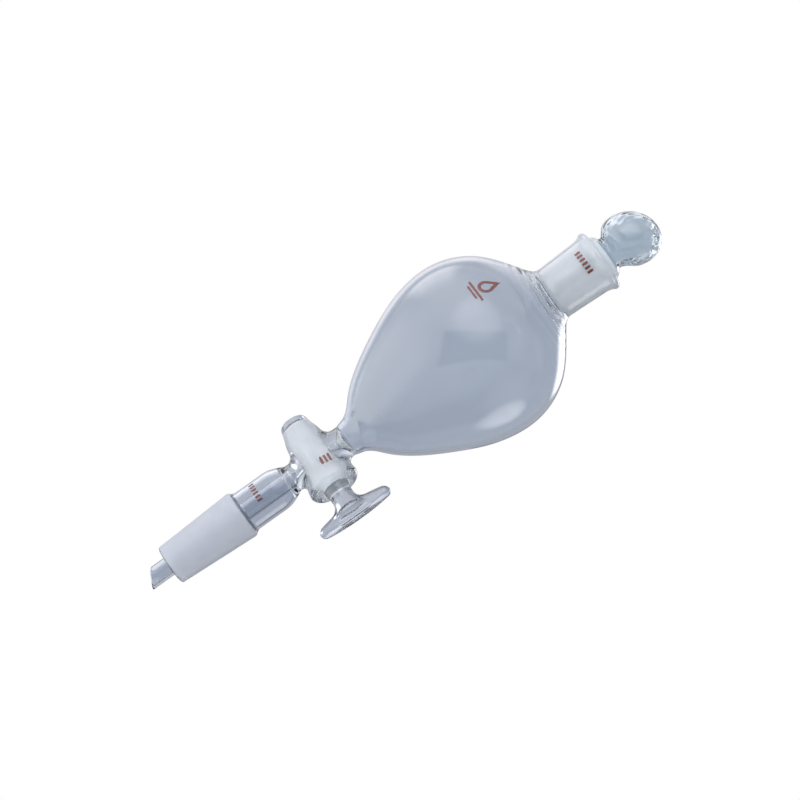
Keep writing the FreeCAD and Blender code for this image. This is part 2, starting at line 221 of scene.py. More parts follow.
def slope_of(field, points, reach=0.2):
    """The field's gradient at points, by central differences."""
    columns = []
    for axis in range(3):
        step = np.zeros(3)
        step[axis] = reach
        ahead, behind = (points + step).T, (points - step).T
        columns.append((field(*ahead) - field(*behind)) / (2 * reach))
    return np.stack(columns, axis=1)


def onto(field, points, rounds=4):
    """The points moved onto the surface where the field is 0."""
    for _ in range(rounds):
        slope = slope_of(field, points)
        size = np.maximum((slope * slope).sum(1), 0.05)
        points = points - slope * (field(*points.T) / size)[:, None]
    return points


def skin(field, low, high, pitch):
    """(points, quads) of the surface where the field is 0, with the solid where it is negative."""
    axes = [np.arange(a, b + pitch, pitch) for a, b in zip(low, high)]
    value = field(*np.meshgrid(*axes, indexing="ij"))
    solid = value < 0
    cells = tuple(n - 1 for n in solid.shape)
    corner = [(i, j, k) for i in (0, 1) for j in (0, 1) for k in (0, 1)]

    def at(grid, c):
        return grid[tuple(slice(o, o + n) for o, n in zip(c, cells))]

    filled = sum(at(solid, c).astype(np.int8) for c in corner)
    mixed = (filled > 0) & (filled < 8)
    index = -np.ones(cells, np.int64)
    index[mixed] = np.arange(mixed.sum())
    total, hits = np.zeros((*cells, 3)), np.zeros(cells)
    for a in corner:
        for axis in range(3):
            if a[axis]:
                continue
            b = tuple(1 if n == axis else v for n, v in enumerate(a))
            va, vb = at(value, a), at(value, b)
            cross = mixed & ((va < 0) != (vb < 0))
            share = np.where(cross, va / np.where(cross, va - vb, 1), 0)
            for n in range(3):
                total[..., n] += np.where(cross, a[n] + (share if n == axis else 0), 0)
            hits += cross
    place = total[mixed] / hits[mixed][:, None] + np.argwhere(mixed)
    points = place * pitch + np.array(low)
    quads = []
    for axis in range(3):
        u, v = (axis + 1) % 3, (axis + 2) % 3
        one = [slice(1, -1)] * 3
        one[axis] = slice(0, -1)
        two = list(one)
        two[axis] = slice(1, None)
        first, second = solid[tuple(one)], solid[tuple(two)]
        for flip, which in ((False, first & ~second), (True, ~first & second)):
            at_edge = np.argwhere(which)
            at_edge[:, u] += 1
            at_edge[:, v] += 1
            around = []
            for du, dv in ((-1, -1), (0, -1), (0, 0), (-1, 0)):
                cell = at_edge.copy()
                cell[:, u] += du
                cell[:, v] += dv
                around.append(index[tuple(cell.T)])
            quad = np.stack(around[::-1] if flip else around, axis=1)
            quads.append(quad)
    quads = np.vstack(quads)
    return points, quads


def relaxed(points, quads, field, rounds=4):
    """The points evened out among their neighbours, and put back onto the field's surface."""
    pairs = np.vstack([quads[:, [i, (i + 1) % 4]] for i in range(4)])
    for _ in range(rounds):
        total, hits = np.zeros_like(points), np.zeros(len(points))
        for a, b in ((0, 1), (1, 0)):
            np.add.at(total, pairs[:, a], points[pairs[:, b]])
            np.add.at(hits, pairs[:, a], 1)
        points = onto(field, 0.5 * points + 0.5 * total / hits[:, None], 2)
    return onto(field, points, 3)


def cut_flat(piece, z, keep_above):
    """Cuts the piece off at height z and closes the ring between its outer and inner walls."""
    bm = bmesh.new()
    bm.from_mesh(piece.data)
    cut = bmesh.ops.bisect_plane(
        bm, geom=bm.verts[:] + bm.edges[:] + bm.faces[:], dist=1e-8,
        plane_co=(0, 0, z * MM), plane_no=(0, 0, 1),
        clear_inner=keep_above, clear_outer=not keep_above,
    )
    rim = [e for e in cut["geom_cut"] if isinstance(e, bmesh.types.BMEdge) and e.is_boundary]
    made = bmesh.ops.bridge_loops(bm, edges=rim)["faces"]
    for face in made:
        face.material_index = SEAM
    bmesh.ops.recalc_face_normals(bm, faces=bm.faces)
    bm.to_mesh(piece.data)
    bm.free()


def field_normals(piece, field):
    """Shades the piece by its field's own slope, apart from its flat seams."""
    mesh = piece.data
    mesh.polygons.foreach_set("use_smooth", [True] * len(mesh.polygons))
    places = np.zeros(len(mesh.vertices) * 3)
    mesh.vertices.foreach_get("co", places)
    slope = slope_of(field, places.reshape(-1, 3) / MM)
    slope /= np.linalg.norm(slope, axis=1)[:, None]
    corners = np.zeros(len(mesh.loops), np.int64)
    mesh.loops.foreach_get("vertex_index", corners)
    normals = slope[corners]
    for face in mesh.polygons:
        if face.material_index == SEAM:
            for loop in face.loop_indices:
                normals[loop] = face.normal
    mesh.normals_split_custom_set(normals.tolist())


# ---- materials --------------------------------------------------------------------------------
class Nodes:
    """A material's node tree, built by short calls."""

    def __init__(self, name):
        self.material = bpy.data.materials.new(name)
        self.material.use_nodes = True
        self.tree = self.material.node_tree
        self.shader = self.tree.nodes["Principled BSDF"]
        self.place = self.add("ShaderNodeTexCoord").outputs["Object"]

    def add(self, kind, **settings):
        node = self.tree.nodes.new(kind)
        for key, value in settings.items():
            setattr(node, key, value)
        return node

    def link(self, source, target):
        self.tree.links.new(source, target)

    def noise(self, scale, detail=3.0, stretch=(1, 1, 1), roughness=0.5):
        mapping = self.add("ShaderNodeMapping")
        mapping.inputs["Scale"].default_value = stretch
        self.link(self.place, mapping.inputs["Vector"])
        node = self.add("ShaderNodeTexNoise")
        node.inputs["Scale"].default_value = scale
        node.inputs["Detail"].default_value = detail
        node.inputs["Roughness"].default_value = roughness
        self.link(mapping.outputs["Vector"], node.inputs["Vector"])
        return node.outputs["Fac"]

    def ramp(self, source, stops):
        node = self.add("ShaderNodeValToRGB")
        elements = node.color_ramp.elements
        while len(elements) < len(stops):
            elements.new(0.5)
        for element, (place, colour) in zip(elements, stops):
            element.position = place
            element.color = (*colour, 1) if len(colour) == 3 else colour
        self.link(source, node.inputs["Fac"])
        return node.outputs["Color"]

    def span(self, source, low, high, to_low, to_high):
        node = self.add("ShaderNodeMapRange")
        for key, value in (
            ("From Min", low), ("From Max", high), ("To Min", to_low), ("To Max", to_high)
        ):
            node.inputs[key].default_value = value
        self.link(source, node.inputs["Value"])
        return node.outputs["Result"]

    def bump(self, height, depth, under=None):
        """Bump of the stated depth in metres."""
        node = self.add("ShaderNodeBump")
        node.inputs["Strength"].default_value = 1.0
        node.inputs["Distance"].default_value = depth
        self.link(height, node.inputs["Height"])
        if under is not None:
            self.link(under, node.inputs["Normal"])
        return node.outputs["Normal"]

    def set(self, **values):
        for key, value in values.items():
            self.shader.inputs[key.replace("_", " ")].default_value = value

    def into(self, key, source):
        self.link(source, self.shader.inputs[key])


def clear_glass(name, tint, wave):
    """Fire-polished borosilicate: a faint cool tint, and the slow waves and draw lines of hand work."""
    nodes = Nodes(name)
    nodes.set(Roughness=0.0, IOR=GLASS_IOR, Transmission_Weight=1.0)
    pale = tuple(min(1.0, c * 1.03) for c in tint)
    nodes.into("Base Color", nodes.ramp(nodes.noise(18), [(0.3, tint), (0.7, pale)]))
    slow = nodes.bump(nodes.noise(45, 2.0, (1, 1, 0.45)), wave)
    lines = nodes.noise(260, 2.0, (1, 1, 0.08))
    nodes.into("Normal", nodes.bump(lines, wave * 0.03, slow))
    smears = nodes.noise(35, 6.0, (1, 1, 0.5), 0.65)
    nodes.into("Roughness", nodes.span(smears, 0.52, 0.75, 0.0, 0.05))
    return nodes.material


def ground_glass(name, tint, through):
    """Ground joint faces: a fine even grain with turning marks round the taper."""
    nodes = Nodes(name)
    nodes.set(IOR=GLASS_IOR, Transmission_Weight=through)
    pale = tuple(min(1.0, c * 1.05) for c in tint)
    nodes.into("Base Color", nodes.ramp(nodes.noise(160, 5.0), [(0.35, tint), (0.65, pale)]))
    nodes.into("Roughness", nodes.span(nodes.noise(420, 4.0), 0.3, 0.7, 0.42, 0.6))
    grain = nodes.bump(nodes.noise(4200, 2.0), 0.00004)
    nodes.into("Normal", nodes.bump(nodes.noise(900, 2.0, (0.1, 0.1, 1)), 0.00003, grain))
    return nodes.material


def seam_glass():
    """The plane where two blanks are fused: light passes it as if it weren't there."""
    nodes = Nodes("fused_seam")
    nodes.set(Base_Color=(1, 1, 1, 1), Alpha=0.0)
    return nodes.material


def enamel():
    """Fired red-brown print, a little uneven, with pinholes."""
    nodes = Nodes("fired_enamel")
    nodes.set(IOR=1.55)
    thick, thin = (0.085, 0.013, 0.009), (0.15, 0.04, 0.03)
    nodes.into("Base Color", nodes.ramp(nodes.noise(900, 5.0), [(0.4, thick), (0.72, thin)]))
    nodes.into("Roughness", nodes.span(nodes.noise(1500), 0.3, 0.7, 0.28, 0.5))
    nodes.into("Normal", nodes.bump(nodes.noise(2500), 0.00002))
    return nodes.material


BODY_TINT = (0.87, 0.895, 0.93)
TUBE_TINT = (0.85, 0.87, 0.905)
HEAD_TINT = (0.86, 0.915, 0.94)
KEY_TINT = (0.79, 0.805, 0.845)
GROUND_TINT = (0.93, 0.94, 0.96)
# painted shade: the outlet cone's ground glass is a darker copy of GROUND_TINT, toned down where the
# light falls full on it
CONE_GROUND_SHADED_TINT = (0.56, 0.575, 0.63)
# painted shade: the stopper's ground glass is a darker copy of GROUND_TINT, toned down on its fully lit
# collar
STOPPER_GROUND_SHADED_TINT = (0.66, 0.69, 0.72)

# each piece's glass, in the order of the slots CLEAR, GROUND, SEAM
seam = seam_glass()
body_clear = clear_glass("body_glass", BODY_TINT, wave=0.00012)
body_glass = [body_clear, ground_glass("socket_ground", GROUND_TINT, through=0.08), seam]
# the cone's ground glass, with its painted shade
cone_ground_shaded = ground_glass("cone_ground_shaded", CONE_GROUND_SHADED_TINT, through=0.35)
cone_glass = [body_clear, cone_ground_shaded, seam]
tube_glass = [clear_glass("tube_glass", TUBE_TINT, wave=0.00012), cone_ground_shaded, seam]
key_ground = ground_glass("key_ground", GROUND_TINT, through=0.3)
key_glass = [clear_glass("key_glass", KEY_TINT, wave=0.0001), key_ground, seam]
# the stopper's ground glass, with its painted shade
stopper_ground_shaded = ground_glass("stopper_ground_shaded", STOPPER_GROUND_SHADED_TINT, through=0.3)
stopper_glass = [clear_glass("stopper_glass", HEAD_TINT, wave=0.0003), stopper_ground_shaded, seam]
print_enamel = enamel()


def stands_for(piece, body, slot, *nodes):
    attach(piece, body)
    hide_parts(*nodes)


# ---- bulb -------------------------------------------------------------------------------------
BULB_WALL = 1.8
BULB_OUTLINE = [
    (62.0, 8.5), (66.0, 9.9), (72.0, 15.6), (85.0, 26.2), (100.0, 34.5), (115.0, 41.0),
    (128.0, 44.0), (138.0, 44.2), (150.0, 41.2), (160.0, 35.1), (168.0, 26.4), (173.0, 19.5),
    (177.2, 14.2),
]


def bulb_line():
    return smooth_line(BULB_OUTLINE, leave=(1.0, 0.2), arrive=(1.0, -0.9))


def hand_blown(points):
    """Slow unevenness of a blown wall and the ripples of the weld to the neck, always inwards."""
    x, y, z = points.T
    turn = np.arctan2(x, -y)
    wave = np.sin(2 * turn + z / 23) + 0.6 * np.sin(3 * turn - z / 15 + 1.3) + 0.4 * np.sin(z / 6.1)
    fade = ease((z - ARM_TOP_Z) / 25) * ease((BULB_TOP_Z - z) / 12)
    ripple = np.sin(2.6 * (z - 168) + 1.6 * np.sin(turn) + np.sin(2 * turn + 0.7))
    weld = ease((z - 166.5) / 4) * ease((BULB_TOP_Z - z) / 1.5)
    wave_depth, ripple_depth = 0.0009, 0.0045
    share = 1 - (2.0 + wave) * wave_depth * fade - (1 + ripple) * ripple_depth * weld
    return np.c_[x * share, y * share, z]


def make_bulb():
    outer = bulb_line()
    throat = (BULB_TOP_Z, socket_r(BULB_TOP_Z))
    foot = (ARM_TOP_Z, BULB_OUTLINE[0][1] - BULB_WALL)
    even_from, even_to = 66, 171    # the wall is even between these heights
    inner = moved_in(outer, BULB_WALL)
    inner = inner[(inner[:, 0] > even_from) & (inner[:, 0] < even_to)]
    top = smooth_line([throat, (174.4, 13.4), inner[-1]], (-1, 0.35), (-1, 1.35))
    low = smooth_line([inner[0], foot], (-1, -0.75), (-1, -0.2))
    loop = [
        (outer, CLEAR), (straight(outer[-1], throat), SEAM), (top, CLEAR),
        (inner[::-1], CLEAR), (low, CLEAR), (straight(foot, outer[0]), SEAM),
    ]
    piece = lathe("bulb_glass", [loop], body_glass, hand_blown)
    stands_for(piece, "funnel", "clear_glass", "bulb_cone", "bulb_belly", "bulb_shoulder")


make_bulb()


# ---- neck socket ------------------------------------------------------------------------------
NECK_LOW = (181.2, 13.12)           # (z, radius) where its straight wall starts
NECK_FLARE = 0.0404                 # radius per millimetre of that wall


def make_neck():
    foot, throat = (BULB_TOP_Z, BULB_OUTLINE[-1][1]), (BULB_TOP_Z, socket_r(BULB_TOP_Z))
    high, bead_foot = (200.5, 13.9), (204.1, 15.05)
    rim_out, rim_in = (SOCKET_MOUTH_Z, 13.6), (SOCKET_MOUTH_Z, 12.6)
    mouth = (206.7, socket_r(206.7))
    loop = [
        (smooth_line([foot, (178.8, 13.3), NECK_LOW], (1, -0.9), (1, 0.04)), CLEAR),
        (straight(NECK_LOW, high), CLEAR),
        (arc(high, (202.5, 14.35), bead_foot, 6), CLEAR),
        (arc(bead_foot, (205.3, 15.5), rim_out, 12), CLEAR),
        (straight(rim_out, rim_in), CLEAR),
        (arc(rim_in, (207.05, 12.2), mouth, 5), CLEAR),
        (straight(mouth, throat), GROUND),
        (straight(throat, foot), SEAM),
    ]
    piece = lathe("neck_glass", [loop], body_glass)
    stands_for(piece, "funnel", "ground_glass", "neck_socket")


make_neck()


# ---- stopcock shell: both arms and the barrel, blended where they are fused -------------------
BARREL_NARROW_X, BARREL_WIDE_X = -23.55, 17.0
BARREL_GROUND = (-20.2, 15.6)       # the ends of its ground zone along x
UPPER_WAIST_Z, LOWER_WAIST_Z = 59.0, 30.4  # each arm is narrowest here
BARREL_LINE = smooth_line(
    [(BARREL_NARROW_X, 6.4), (-22.0, 6.9), (-18.8, 7.65), (-13.9, 9.05), (-6.0, 9.85), (2.0, 10.3),
     (8.0, 11.2), (14.5, 12.55), (18.0, 12.3)],
    (1, 0.5), (1, -0.1), 0.1,
)


def barrel_r(x):
    return np.interp(x, BARREL_LINE[:, 0], BARREL_LINE[:, 1])


def shell_outside(x, y, z):
    """Negative inside the barrel and the arms, as if they were solid."""
    across = np.hypot(y, z - KEY_Z)
    barrel = blend_max((across - barrel_r(x)) * 0.97, BARREL_NARROW_X - x, 1.2)
    barrel = blend_max(barrel, x - BARREL_WIDE_X, 3.2)
    out = np.hypot(x, y)
    upper_r = 7.9 + np.where(z > UPPER_WAIST_Z, 0.0667, 0.012) * (z - UPPER_WAIST_Z) ** 2
    lower_r = 6.75 + np.where(z < LOWER_WAIST_Z, 0.166, 0.02) * (z - LOWER_WAIST_Z) ** 2
    upper = np.maximum(out - upper_r, KEY_Z - z)
    lower = np.maximum(out - lower_r, z - KEY_Z)
    return blend_min(blend_min(barrel, upper, 5.0), lower, 4.0)


def shell_inside(x, y, z):
    """Negative inside the ground bore, its flared mouth and the passages of the arms."""
    across = np.hypot(y, z - KEY_Z)
    flare = 0.09 * np.maximum(x - 15.4, 0) ** 2
    bore = across - (KEY_MID_R + GROUND_GAP + TAPER * x + flare)
    above = 5.2 * np.sin(math.pi / 2 * np.clip((z - 55.0) / 7.0, 0, 1)) ** 2
    below = 1.75 * np.sin(math.pi / 2 * np.clip((33.4 - z) / 4.9, 0, 1)) ** 2
    return blend_min(bore, np.hypot(x, y) - (BORE_R + above + below), 0.3)


def shell_field(x, y, z):
    return blend_max(shell_outside(x, y, z), -shell_inside(x, y, z), 0.5)


def blended_object(name, field, low, high, gap, ground_ends, materials):
    """A blended solid, ground where it lies gap mm outside the key's taper between two x."""
    points, quads = skin(field, low, high, SKIN_PITCH)
    points = relaxed(points, quads, field)
    middle = points[quads].mean(axis=1)
    across = np.hypot(middle[:, 1], middle[:, 2] - KEY_Z)
    on_taper = np.abs(across - (KEY_MID_R + gap + TAPER * middle[:, 0])) < ON_GROUND
    ground = on_taper & (middle[:, 0] > ground_ends[0]) & (middle[:, 0] < ground_ends[1])
    kinds = np.where(ground, GROUND, CLEAR)
    return glass_object(name, points, quads.tolist(), kinds, materials)


def make_stopcock():
    low, high = (-25.0, -14.0, ARM_FOOT_Z - 1.3), (18.5, 14.0, ARM_TOP_Z + 1.3)
    piece = blended_object(
        "stopcock_glass", shell_field, low, high, GROUND_GAP, BARREL_GROUND, body_glass
    )
    cut_flat(piece, ARM_TOP_Z, keep_above=False)
    cut_flat(piece, ARM_FOOT_Z, keep_above=True)
    field_normals(piece, shell_field)
    stands_for(piece, "funnel", "clear_glass", "upper_arm", "stopcock_barrel", "lower_arm")


make_stopcock()


# ---- jacket, outlet cone and drip tube --------------------------------------------------------
JACKET_R, JACKET_IN_R = 10.2, 8.7
DRIP_R, DRIP_IN_R = 4.75, 3.25
SEAL_Z = 26.5
SHOULDER_Z = 3.5


def make_jacket():
    bend_z, top_r, seal_width = 19.0, 7.35, 0.9
    outer = smooth_line(
        [(bend_z, JACKET_R), (23.9, 9.4), (26.8, 8.2), (ARM_FOOT_Z, top_r)], (1, 0), (1, -0.63), 0.4
    )
    cavity = smooth_line(
        [(SEAL_Z, DRIP_R + seal_width), (24.6, 7.3), (bend_z, JACKET_IN_R)], (-0.2, 1), (-1, 0), 0.4
    )
    loop = [
        (straight((SHOULDER_Z, JACKET_R), (bend_z, JACKET_R)), CLEAR), (outer, CLEAR),
        (straight((ARM_FOOT_Z, top_r), (ARM_FOOT_Z, DRIP_IN_R)), SEAM),
        (straight((ARM_FOOT_Z, DRIP_IN_R), (SEAL_Z, DRIP_IN_R)), CLEAR),
        (straight((SEAL_Z, DRIP_IN_R), (SEAL_Z, DRIP_R)), SEAM),
        (straight((SEAL_Z, DRIP_R), (SEAL_Z, DRIP_R + seal_width)), CLEAR), (cavity, CLEAR),
        (straight((bend_z, JACKET_IN_R), (SHOULDER_Z, JACKET_IN_R)), CLEAR),
        (straight((SHOULDER_Z, JACKET_IN_R), (SHOULDER_Z, JACKET_R)), SEAM),
    ]
    piece = lathe("jacket_glass", [loop], tube_glass)
    stands_for(piece, "funnel", "clear_glass", "vapour_jacket")


def make_cone():
    foot_z, wall = -40.0, 2.2
    foot_r = GAUGE_R + TAPER * foot_z
    gauge, inner_top = (0.0, GAUGE_R), (-3.0, 9.65)
    foot_out, foot_in = (foot_z, foot_r), (foot_z, foot_r - wall)
    shoulder = smooth_line([gauge, (1.4, 11.3), (SHOULDER_Z, JACKET_R)], (1, -0.1), (1, -0.05), 0.25)
    split = len(shoulder) // 2
    inside = smooth_line(
        [(SHOULDER_Z, JACKET_IN_R), (0.0, 9.8), inner_top], (-1, 0.1), (-1, -0.05), 0.4
    )
    loop = [
        (straight(foot_out, gauge), GROUND),
        (shoulder[:split], GROUND), (shoulder[split - 1:], CLEAR),
        (straight((SHOULDER_Z, JACKET_R), (SHOULDER_Z, JACKET_IN_R)), SEAM), (inside, CLEAR),
        (straight(inner_top, foot_in), CLEAR),
        (arc(foot_in, (-40.6, foot_r - wall / 2), foot_out, 9), CLEAR),
    ]
    piece = lathe("cone_glass", [loop], cone_glass)
    stands_for(piece, "funnel", "ground_glass", "outlet_cone")


def make_drip_tube():
    """The tip is cut aslant and fire-polished, so its rim follows a tilted plane."""
    point_z, heel_z = -53.85, -48.8
    middle_z, slant = (point_z + heel_z) / 2, (heel_z - point_z) / (2 * DRIP_R)
    edge, level, fade = 0.55, -48.0, 8
    curve_z, curve_in = level + 0.15, 0.22

    def slanted(points):
        x, y, z = points.T
        towards = x * math.cos(VIEW_TURN) + y * math.sin(VIEW_TURN)
        share = ease((level + fade - z) / fade)
        return np.c_[x, y, z + share * (middle_z - level - slant * towards)]

    inner_side, inner_rim = (level + edge, DRIP_IN_R), (level, DRIP_IN_R + edge)
    outer_side, outer_rim = (level + edge, DRIP_R), (level, DRIP_R - edge)
    loop = [
        (straight(outer_side, (SEAL_Z, DRIP_R)), CLEAR),
        (straight((SEAL_Z, DRIP_R), (SEAL_Z, DRIP_IN_R)), SEAM),
        (straight((SEAL_Z, DRIP_IN_R), inner_side), CLEAR),
        (arc(inner_side, (curve_z, DRIP_IN_R + curve_in), inner_rim, 5), CLEAR),
        (straight(inner_rim, outer_rim), CLEAR),
        (arc(outer_rim, (curve_z, DRIP_R - curve_in), outer_side, 5), CLEAR),
    ]
    piece = lathe("drip_tube_glass", [loop], tube_glass, slanted)
    stands_for(piece, "funnel", "clear_glass", "drip_tube")


make_jacket()
make_cone()
make_drip_tube()


# ---- key --------------------------------------------------------------------------------------
HANDLE_HALF = 19.7
HANDLE_MID_Z = KEY_Z + 0.8
KEY_NARROW_X = -21.6
KEY_GROUND = (-20.4, 16.6)          # the ends of its ground zone along x


def key_field(x, y, z):
    """Negative inside the plug, the stem and the bar handle, and positive in the cross bore."""
    across = np.hypot(y, z - KEY_Z)
    plug_r = KEY_MID_R + TAPER * x
    stem_r = 5.6 + 0.02 * np.maximum(x - 22.5, 0) ** 2
    turned_r = plug_r + (stem_r - plug_r) * ease((x - 17.0) / 4.2)
    turned = np.maximum(blend_max(across - turned_r, KEY_NARROW_X - x, 1.3), x - 29.0)
    out = np.abs(z - HANDLE_MID_Z)
    far = out / 19.0
    outer_x = 36.4 - 1.5 * far ** 2
    inner_x = 27.3 + 3.2 * far ** 1.4
    half_x, half_y = (outer_x - inner_x) / 2, 3.5 - 0.4 * far ** 2
    round_x = np.abs(x - (outer_x + inner_x) / 2) / half_x
    round_y = np.abs(y) / half_y
    bar = ((round_x ** 3.4 + round_y ** 3.4) ** (1 / 3.4) - 1) * np.minimum(half_x, half_y)
    bar = blend_max(bar, out - HANDLE_HALF, 3.4)
    bar = blend_max(bar, x - outer_x + 0.35, 0.8)
    solid = blend_min(turned, bar, 4.0)
    return blend_max(solid, BORE_R - np.hypot(x, y), 0.5)


def make_key():
    low, high = (-23.0, -8.0, KEY_Z - 21.5), (38.0, 8.0, KEY_Z + 21.5)
    piece = blended_object("key_glass", key_field, low, high, 0.0, KEY_GROUND, key_glass)
    field_normals(piece, key_field)
    stands_for(piece, "key", "clear_glass", "key_plug", "key_stem", "key_handle")


make_key()


# ---- stopper ----------------------------------------------------------------------------------
HEAD_NECK_Z, HEAD_MID_Z, HEAD_R = 211.4, 223.8, 13.6
HEAD_TILT = math.radians(45)        # the flattened head's short axis, from +Z away from the handle
HEAD_FLAT, HEAD_LONG = 0.935, 1.075  # its half-axes, as shares of the ball's radius


def hand_formed(points):
    """The head was a ball, pressed a little flat and crooked while it was soft."""
    handle = np.array([math.cos(VIEW_TURN), math.sin(VIEW_TURN), 0])
    short = np.array([0, 0, math.cos(HEAD_TILT)]) - math.sin(HEAD_TILT) * handle
    long = np.array([0, 0, math.sin(HEAD_TILT)]) + math.cos(HEAD_TILT) * handle
    away = points - (0, 0, HEAD_MID_Z)
    pressed = (HEAD_FLAT - 1) * (away @ short)[:, None] * short
    pressed += (HEAD_LONG - 1) * (away @ long)[:, None] * long
    share = ease((points[:, 2] - HEAD_NECK_Z) / 5.0)
    moved = points + share[:, None] * pressed
    x, y, z = points.T
    radius = np.hypot(np.hypot(x, y), z - HEAD_MID_Z)
    within = share * ease((HEAD_R - 0.6 - radius) / 1.2) * ease((radius - 6) / 3)
    rough = np.sin(0.7 * z + 1.5 * np.sin(0.4 * x)) * np.sin(0.65 * x + 0.5 * y + 0.4)
    rough += 0.35 * np.sin(1.7 * y - 0.7 * z) * np.sin(1.4 * x + 0.4 * z + 1.1)
    return moved - (0.26 * within * rough / np.maximum(radius, 1))[:, None] * away


def make_stopper():
    foot_z, top_z, frost_end = 178.6, 206.8, (209.4, 10.75)
    top_r, foot_r = socket_r(top_z) - GROUND_GAP, socket_r(foot_z + 1.3) - GROUND_GAP
    neck = (HEAD_NECK_Z, 8.5)
    cheek, belly, crown = (216.8, 11.9), (HEAD_MID_Z, HEAD_R), (HEAD_MID_Z + HEAD_R, 0.0)
    brow = (HEAD_MID_Z + HEAD_R * math.sqrt(0.5), HEAD_R * math.sqrt(0.5))
    outer = [
        (arc((foot_z - 0.6, 0.0), (foot_z - 0.4, foot_r / 2), (foot_z, foot_r - 1.3), 12), CLEAR),
        (arc((foot_z, foot_r - 1.3), (foot_z + 0.4, foot_r - 0.35), (foot_z + 1.3, foot_r), 6), CLEAR),
        (straight((foot_z + 1.3, foot_r), (top_z, top_r)), GROUND),
        (smooth_line([(top_z, top_r), (208.4, 11.35), frost_end], (1, 0.05), (1, -1), 0.4), GROUND),
        (smooth_line([frost_end, neck, cheek, belly], (1, -1), (1, 0), 0.4), CLEAR),
        (arc(belly, brow, crown, 40), CLEAR),
    ]
    wall = 2.3
    inner_crown = (crown[0] - wall, 0.0)
    brow_out = (HEAD_R - wall) * math.sqrt(0.5)
    inner_brow = (HEAD_MID_Z + brow_out, brow_out)
    inner_belly = (HEAD_MID_Z, HEAD_R - wall)
    hollow = [
        (208.4, 9.3), (205.5, top_r - 1.75), (190.0, socket_r(190.0) - 1.8),
        (foot_z + 2.8, foot_r - 1.9), (foot_z + 1.4, 5.5), (foot_z + 1.1, 0.0),
    ]
    hollow = [inner_belly, (217.6, 9.9), (HEAD_NECK_Z, 6.6), *hollow]
    inside = [
        (arc(inner_crown, inner_brow, inner_belly, 36), CLEAR),
        (smooth_line(hollow, (-1, 0), (0, -1), 0.5), CLEAR),
    ]
    piece = lathe("stopper_glass", [outer, inside], stopper_glass, hand_formed)
    stands_for(piece, "stopper", "clear_glass", "stopper_plug", "stopper_head")


make_stopper()


# ---- printed marks ----------------------------------------------------------------------------
def print_film(name, patches, place, node):
    """An enamel film. A patch is a grid of (u, v) points in mm; place lays them on the glass."""
    points, faces, count = [], [], 0
    gap, thickness = 0.03, 0.07
    for grid, wraps in patches:
        rows, columns = grid.shape[:2]
        flat = grid.reshape(-1, 2)
        for height in (gap, gap + thickness):
            points.append(place(flat, height))
        size = rows * columns
        under, over = count, count + size
        count += 2 * size

        def at(base, i, j):
            return base + (i % rows) * columns + j

        last = rows if wraps else rows - 1
        for i in range(last):
            for j in range(columns - 1):
                corners = (i, j), (i + 1, j), (i + 1, j + 1), (i, j + 1)
                faces.append(tuple(at(over, *c) for c in corners))
                faces.append(tuple(at(under, *c) for c in corners[::-1]))
        rims = [[(i, 0) for i in range(rows)], [(i, columns - 1) for i in range(rows)][::-1]]
        if wraps:
            rims = [rim + rim[:1] for rim in rims]
        else:
            rims = [
                rims[0] + [(rows - 1, j) for j in range(1, columns)] + rims[1][1:]
                + [(0, j) for j in range(columns - 2, -1, -1)]
            ]
        for rim in rims:
            for a, b in zip(rim, rim[1:]):
                faces.append((at(under, *a), at(under, *b), at(over, *b), at(over, *a)))
    piece = glass_object(name, np.vstack(points), faces, [0] * len(faces), [print_enamel])
    bm = bmesh.new()
    bm.from_mesh(piece.data)
    bmesh.ops.recalc_face_normals(bm, faces=bm.faces)
    bm.to_mesh(piece.data)
    bm.free()
    smooth_shade(piece)
    stands_for(piece, "funnel", "enamel", node)


def bar(u, v, width, height, seed):
    """A printed bar with slightly uneven edges, as a patch."""
    rows, columns = 18, 8
    s, t = np.meshgrid(np.linspace(-1, 1, rows), np.linspace(-1, 1, columns), indexing="ij")
    ragged = 0.05 * np.sin(9 * t + seed) + 0.04 * np.sin(17 * t + 2.3 * seed)
    rough = 0.05 * np.sin(11 * s + 1.7 * seed) + 0.03 * np.sin(23 * s + seed)
    corner = 1 - 0.06 * (s * t) ** 6
    across = u + (width / 2) * s * corner + ragged * s
    upwards = v + (height / 2) * t * corner + rough * t
    return np.stack([across, upwards], axis=2), False


def drop(v, radius, point_height, band):
    """The outline of a drop as a wrapped patch, band mm wide."""
    turn = np.linspace(0, 2 * math.pi, 96, endpoint=False)
    reach = math.asin(radius / point_height)
    rows = []
    for share in np.linspace(0, 1, 6):
        r = radius - band * share
        tip = r / math.sin(reach)
        bend = np.abs((turn + math.pi) % (2 * math.pi) - math.pi)
        flank = r / np.maximum(np.cos(math.pi / 2 - reach - bend), 0.05)
        side = np.minimum(np.where(bend < math.pi / 2 - reach, flank, r), tip)
        rows.append(np.stack([side * np.sin(turn), v + side * np.cos(turn)], axis=1))
    return np.stack(rows, axis=1), True


def on_tube(radius_at, middle_z, turn):
    """Lays (u, v) on a turned surface: u runs round it from the stated angle, v runs up."""
    def place(flat, height):
        z = middle_z + flat[:, 1]
        radius = radius_at(z)
        angle = math.radians(turn) + flat[:, 0] / radius
        radius = radius + height
        return np.c_[radius * np.sin(angle), -radius * np.cos(angle), z]
    return place


def on_barrel(middle_x, middle_z):
    """Lays (u, v) on the front of the stopcock barrel: u runs along the key, v upwards."""
    def place(flat, height):
        x = middle_x + flat[:, 0]
        start = np.c_[x, np.full(len(x), -11.0), middle_z + flat[:, 1]]
        surface = onto(shell_outside, start, 6)
        slope = slope_of(shell_outside, surface)
        return surface + height * slope / np.linalg.norm(slope, axis=1)[:, None]
    return place


